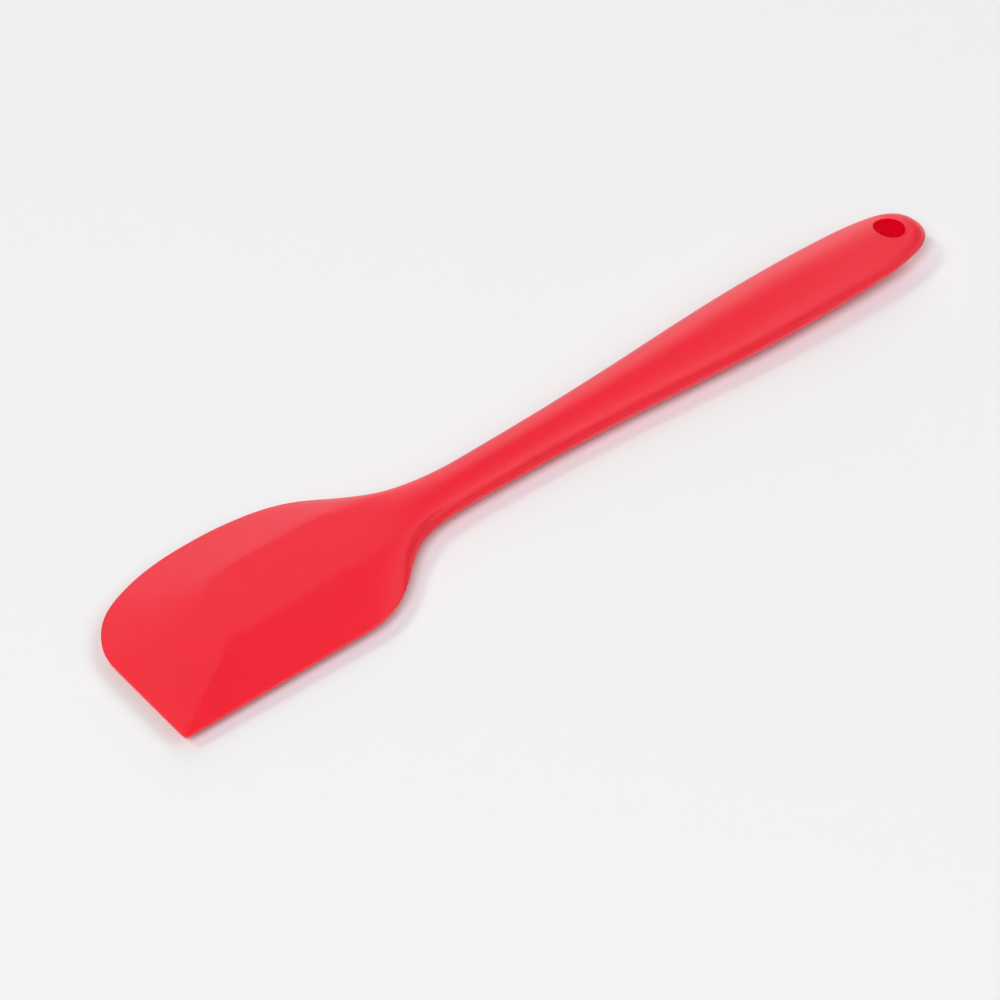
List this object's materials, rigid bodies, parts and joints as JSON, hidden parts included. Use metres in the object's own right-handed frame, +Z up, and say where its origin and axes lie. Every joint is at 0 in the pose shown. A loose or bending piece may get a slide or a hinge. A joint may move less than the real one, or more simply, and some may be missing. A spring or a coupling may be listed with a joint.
{
  "type": "silicone spatula",
  "caption": "Seamless silicone spatula: thin bevelled blade with a straight side and a rounded side, slim neck, oval handle and hanging hole.",
  "frame": {"origin": "on the table, under the middle of the whole box, with the spatula lying in its resting pose", "axes": "+X from the blade's tip to the handle's end, +Y to the rounded side of the blade, +Z up from the table"},
  "size_m": [0.28, 0.0556, 0.0133],
  "materials": {
    "silicone": "matte",
    "core_nylon": "matte"
  },
  "bodies": {
    "root": {"silicone_body": "silicone", "stiffening_core": "core_nylon"}
  },
  "joints": []
}
